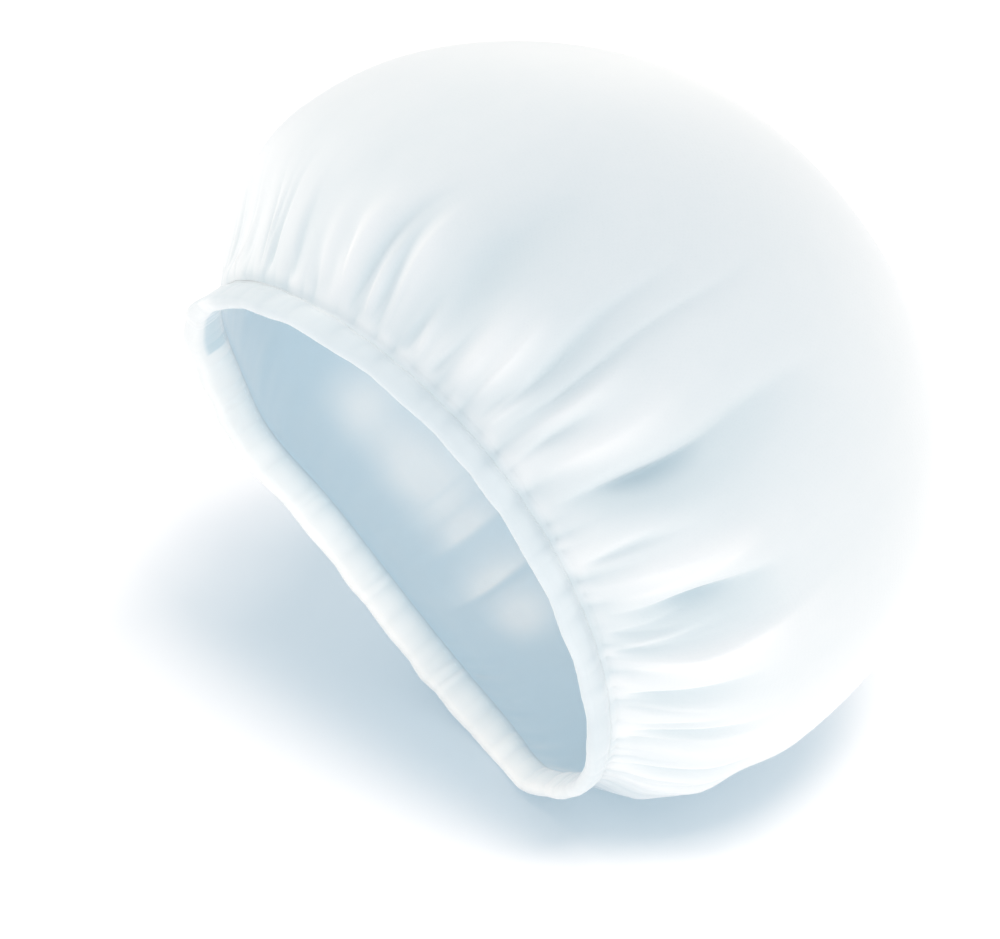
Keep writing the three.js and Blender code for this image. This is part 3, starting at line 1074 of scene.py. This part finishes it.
@dataclass
class Stitching:
    """Rows of thread stitches that hold the hem to the crown, laid along a path by a node tree."""

    hem: Hem
    threads: dict[Side, ThreadFinish]
    stitch_length: float = 1.9
    stitch_pitch: float = 3.2
    thread_diameter: float = 0.3
    forward: float = 1.6
    sunk: float = 0.8
    path_points: int = 1800

    def path(self, side: Side) -> np.ndarray:
        """The row's path on one face of the hem, in mm, with the thread sunk into the cloth."""
        section = self.hem.section(False)
        half = len(section) // 2
        leg = section[:half] if side is Side.OUTER else section[:half:-1]
        out, moved, back = (np.interp(self.forward, leg[:, 0], values) for values in leg.T[1:])
        lift = (0.5 - self.sunk) * self.thread_diameter * (1.0 if side is Side.OUTER else -1.0)
        angle = np.arange(self.path_points) * 360.0 / self.path_points
        return self.hem.surface(angle, self.forward, out + lift, moved, back)

    def tree(self) -> bpy.types.NodeTree:
        """The node tree: a stitch at every pitch along the path, turned along it.

        Returns:
            The tree, with the sizes as named inputs.
        """
        tree = bpy.data.node_groups.new("stitch_row", "GeometryNodeTree")
        face = tree.interface
        face.new_socket("Geometry", in_out="INPUT", socket_type="NodeSocketGeometry")
        for name in ("Pitch", "Length", "Diameter"):
            face.new_socket(name, in_out="INPUT", socket_type="NodeSocketFloat")
        face.new_socket("Thread", in_out="INPUT", socket_type="NodeSocketMaterial")
        face.new_socket("Geometry", in_out="OUTPUT", socket_type="NodeSocketGeometry")
        nodes = tree.nodes
        start = nodes.new("NodeGroupInput")
        curve = nodes.new("GeometryNodeMeshToCurve")
        points = nodes.new("GeometryNodeCurveToPoints")
        points.mode = "LENGTH"
        bead = nodes.new("GeometryNodeMeshUVSphere")
        for socket, value in {"Segments": 8, "Rings": 6, "Radius": 0.5}.items():
            bead.inputs[socket].default_value = value
        size = nodes.new("ShaderNodeCombineXYZ")
        place = nodes.new("GeometryNodeInstanceOnPoints")
        real = nodes.new("GeometryNodeRealizeInstances")
        dress = nodes.new("GeometryNodeSetMaterial")
        end = nodes.new("NodeGroupOutput")
        joins = (
            (start, "Geometry", curve, "Mesh"),
            (curve, "Curve", points, "Curve"),
            (start, "Pitch", points, "Length"),
            (start, "Diameter", size, "X"),
            (start, "Diameter", size, "Y"),
            (start, "Length", size, "Z"),
            (points, "Points", place, "Points"),
            (points, "Rotation", place, "Rotation"),
            (bead, "Mesh", place, "Instance"),
            (size, "Vector", place, "Scale"),
            (place, "Instances", real, "Geometry"),
            (real, "Geometry", dress, "Geometry"),
            (start, "Thread", dress, "Material"),
            (dress, "Geometry", end, "Geometry"),
        )
        for source, output, target, socket in joins:
            tree.links.new(source.outputs[output], target.inputs[socket])
        return tree

    def build(self, side: Side, tree: bpy.types.NodeTree) -> bpy.types.Object:
        """Builds one row of stitches as a plain mesh.

        Args:
            side: the hem's face that the row shows on.
            tree: the stitch row's node tree.

        Returns:
            The row's object.
        """
        mesh = bpy.data.meshes.new(f"stitches_{side.name.lower()}")
        edges = [(i, (i + 1) % self.path_points) for i in range(self.path_points)]
        mesh.from_pydata((self.path(side) * MM).tolist(), edges, [])
        row = bpy.data.objects.new(mesh.name, mesh)
        bpy.context.scene.collection.objects.link(row)
        maker = row.modifiers.new("stitch_row", "NODES")
        maker.node_group = tree
        values = {
            "Pitch": self.stitch_pitch * MM,
            "Length": self.stitch_length * MM,
            "Diameter": self.thread_diameter * MM,
            "Thread": self.threads[side].material(),
        }
        for socket in tree.interface.items_tree:
            if socket.in_out == "INPUT" and socket.name in values:
                maker[socket.identifier] = values[socket.name]
        bake_modifiers(row)
        row.data.polygons.foreach_set("use_smooth", np.ones(len(row.data.polygons), bool))
        return row


@dataclass
class Studio:
    """Pale floor, soft light and the photograph's camera."""

    form: CapForm
    floor: FloorFinish
    azimuth: float = 54.7
    elevation: float = 30.0
    distance: float = 1.2
    field_width: float = 0.3
    aim_right: float = 0.0231
    aim_up: float = 0.016
    floor_size: float = 6.0
    sky: Triple = (0.555, 0.615, 0.655)
    # Each lamp's name, what it lights, its light in red, green and blue, its edge in m, and its direction: to
    # the picture's right, away from the camera and up
    lamps: tuple[tuple[str, Lit, Triple, float, Triple], ...] = (
        ("front", Lit.CAP, (0.21, 0.21, 0.21), 2.2, (0.0, -1.0, 0.3)),
        ("left_back", Lit.CAP, (0.43, 0.362, 0.304), 2.2, (-0.7, 0.7, 0.5)),
        ("right_back", Lit.CAP, (0.29, 0.241, 0.2), 2.2, (0.8, 0.7, 0.25)),
        ("right", Lit.CAP, (0.11, 0.086, 0.074), 2.2, (1.0, -0.3, 0.05)),
        ("top", Lit.CAP, (0.24, 0.205, 0.19), 2.2, (0.0, 0.0, 1.0)),
        ("floor_front", Lit.FLOOR, (0.84, 0.665, 0.555), 1.0, (0.22, -0.45, 1.0)),
        ("floor_left", Lit.FLOOR, (0.37, 0.29, 0.245), 1.0, (-0.05, -0.33, 1.0)),
        ("floor_right", Lit.FLOOR, (0.16, 0.125, 0.105), 1.0, (0.45, -0.05, 1.0)),
    )
    lamp_distance: float = 3.5
    lamp_aim: float = 0.1
    # The lamp inside the crown: its light, m behind the seam and its radius
    glow_light: Triple = (0.146, 0.118, 0.105)
    glow_depth: float = 0.09
    glow_radius: float = 0.04
    # The rim's spot: its light, m in front of the seam, m from the axis, the angle there, its cone and radius
    spot_light: Triple = (0.65, 0.45, 0.335)
    spot_forward: float = 0.11
    spot_aside: float = 0.06
    spot_at: float = 42.0
    spot_cone: float = 120.0
    spot_radius: float = 0.03

    @property
    def seam(self) -> Vector:
        """The centre of the cap's seam, in m."""
        return Vector((self.form.shift + np.array([0.0, 0.0, self.form.seam_height])) * MM)

    def directions(self) -> tuple[Vector, Vector, Vector]:
        """Unit vectors to the image's right, to its top and from the cap to the camera."""
        a, e = math.radians(self.azimuth), math.radians(self.elevation)
        right = Vector((math.cos(a), math.sin(a), 0.0))
        back = Vector((math.sin(a) * math.cos(e), -math.cos(a) * math.cos(e), math.sin(e)))
        return right, back.cross(right), back

    def build_camera(self) -> None:
        """Puts the camera at the photograph's angle, framed as the photograph is."""
        right, up, back = self.directions()
        aim = self.seam + right * self.aim_right + up * self.aim_up
        lens = bpy.data.cameras.new("camera")
        lens.sensor_fit = "HORIZONTAL"
        lens.sensor_width = 36.0
        lens.lens = lens.sensor_width * self.distance / self.field_width
        camera = bpy.data.objects.new("camera", lens)
        camera.location = aim + back * self.distance
        camera.rotation_mode = "QUATERNION"
        camera.rotation_quaternion = (-back).to_track_quat("-Z", "Y")
        bpy.context.scene.collection.objects.link(camera)
        bpy.context.scene.camera = camera

    def build_floor(self) -> bpy.types.Object:
        """Lays the floor and returns it."""
        half = self.floor_size / 2 / MM
        corners = np.array([[-half, -half, 0.0], [half, -half, 0.0], [half, half, 0.0], [-half, half, 0.0]])
        floor = mesh_object("floor", corners, [(0, 1, 2, 3)], [self.floor.material()])
        return floor

    def round_lamp(self, name: str, kind: str, strength: Triple, radius: float) -> bpy.types.Light:
        """A small round lamp, whose strength is all in its colour."""
        light = bpy.data.lights.new(name, kind)
        light.color = strength
        light.energy = 1.0
        light.shadow_soft_size = radius
        return light

    def hang(
        self, light: bpy.types.Light, place: Vector, target: Vector, lit: list[bpy.types.Object]
    ) -> None:
        """Puts a lamp in its place, turned to its target.

        Args:
            light: the lamp.
            place: where it hangs, in m.
            target: what it points at, in m.
            lit: the only pieces that it lights.
        """
        holder = bpy.data.objects.new(light.name, light)
        holder.visible_camera = False
        holder.location = place
        holder.rotation_mode = "QUATERNION"
        holder.rotation_quaternion = (target - place).to_track_quat("-Z", "Y")
        bpy.context.scene.collection.objects.link(holder)
        group = bpy.data.collections.new(f"lit_by_{light.name}")
        for piece in lit:
            group.objects.link(piece)
        holder.light_linking.receiver_collection = group

    def build_light(
        self, floor: bpy.types.Object, pieces: list[bpy.types.Object], rim: list[bpy.types.Object]
    ) -> None:
        """Hangs the lamps round the cap under a pale sky.

        Args:
            floor: the floor.
            pieces: the cap's pieces.
            rim: those of them that make up its rim.
        """
        right, _, back = self.directions()
        away = Vector((-back.x, -back.y, 0.0)).normalized()
        target = Vector((0.0, 0.0, self.lamp_aim))
        for name, lit, strength, edge, (aside, behind, up) in self.lamps:
            light = bpy.data.lights.new(f"{name}_lamp", "AREA")
            light.size = edge
            light.color = strength
            # With this a strength of 1 makes a white surface that faces the lamp just white
            light.energy = (math.pi * self.lamp_distance) ** 2
            toward = (right * aside + away * behind + Vector((0.0, 0.0, up))).normalized()
            place = target + toward * self.lamp_distance
            self.hang(light, place, target, [floor] if lit is Lit.FLOOR else pieces)
        seam = self.seam
        axis = Vector(self.form.axis)
        glow = self.round_lamp("inside_glow", "POINT", self.glow_light, self.glow_radius)
        self.hang(glow, seam + axis * self.glow_depth, seam, pieces)
        spot = self.round_lamp("rim_spot", "SPOT", self.spot_light, self.spot_radius)
        spot.spot_size = math.radians(self.spot_cone)
        spot.spot_blend = 1.0
        across = Vector(self.form.outward(self.spot_at))
        place = seam - axis * self.spot_forward + across * self.spot_aside
        self.hang(spot, place, seam - across * self.form.seam_radius * MM, rim)
        world = bpy.data.worlds.new("pale_sky")
        graph = Graph(world)
        sky = graph.add("ShaderNodeBackground", {}, {"Color": (*self.sky, 1.0)})
        graph.finish(sky, "ShaderNodeOutputWorld")
        bpy.context.scene.world = world
        bpy.context.scene.view_settings.view_transform = "Standard"


def frame_shift(form: CapForm) -> np.ndarray:
    """Where the frame has the seam's centre, in mm, found from the crown's far end.

    Args:
        form: the cap's form, not shifted yet.

    Returns:
        The shift from the form's own place to the frame's.
    """
    length = form.cloth_table[1][-1]
    angle = np.linspace(0.0, 360.0, 180, endpoint=False)
    upper_crown = np.linspace(0.6, 1.0, 60) * length
    far = max(form.crown_ring(angle, float(run))[0][:, 1].max() for run in upper_crown)
    return np.array([0.0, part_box("crown")[1][1] / MM - far, 0.0])


def report(piece: bpy.types.Object) -> None:
    """Logs a finished piece."""
    log.info("%s: %d faces", piece.name, len(piece.data.polygons))


def declare(piece: bpy.types.Object) -> None:
    """Makes a piece ride on the cap."""
    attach(piece, "root")
    report(piece)


def main() -> None:
    """Builds the cap and its studio in order."""
    logging.basicConfig(level=logging.INFO, format="%(name)s: %(message)s")
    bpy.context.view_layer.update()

    form = CapForm()
    form.shift = frame_shift(form)
    # The crown's shade and valley colours are painted shade in its creases and valleys
    cloth = NonwovenFinish(
        "crown_nonwoven", (0.895, 0.907, 0.911), (0.64, 0.725, 0.76), fuzz=0.92, valley=(0.465, 0.58, 0.64)
    )
    # The inner face's deep colour is painted shade inside the hollow, lifted by the pools of painted light
    lining = NonwovenFinish(
        "crown_inner_face", (0.915, 0.93, 0.925), (0.865, 0.89, 0.895), deep=(0.545, 0.69, 0.77)
    )
    # The hem's shade colour is painted shade in its creases, its deep colour painted shade on the inner leg
    strip = NonwovenFinish(
        "hem_nonwoven", (0.8, 0.855, 0.875), (0.66, 0.735, 0.77), bond_pitch=1.2, fold_height=1.0,
        deep=(0.36, 0.52, 0.61), fuzz=0.7,
    )

    studio = Studio(form, FloorFinish())
    studio.build_camera()
    floor = studio.build_floor()

    crown = Crown(form, cloth, lining).build()
    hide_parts("crown")
    declare(crown)

    hem = Hem(form, strip)
    ring = hem.build()
    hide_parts("hem_casing")
    declare(ring)

    # Threads toned to the painted shade around them: the outer to the ditch, the inner to the inner face's deep
    # colour
    threads = {
        Side.OUTER: ThreadFinish("outer_thread", (0.75, 0.81, 0.83), (0.71, 0.77, 0.8), 0.4),
        Side.INNER: ThreadFinish("inner_thread", (0.6, 0.72, 0.79), (0.54, 0.67, 0.74), 0.4),
    }
    stitching = Stitching(hem, threads)
    tree = stitching.tree()
    rows = [stitching.build(side, tree) for side in Side]
    for row in rows:
        declare(row)

    elastic = bpy.data.objects["elastic"]
    elastic.data.materials.clear()
    elastic.data.materials.append(
        ThreadFinish("covered_elastic", (0.82, 0.82, 0.80), (0.66, 0.66, 0.64), 0.8).material()
    )
    report(elastic)

    studio.build_light(floor, [crown, ring, *rows, elastic], [ring, *rows])


if __name__ == "__main__":
    main()
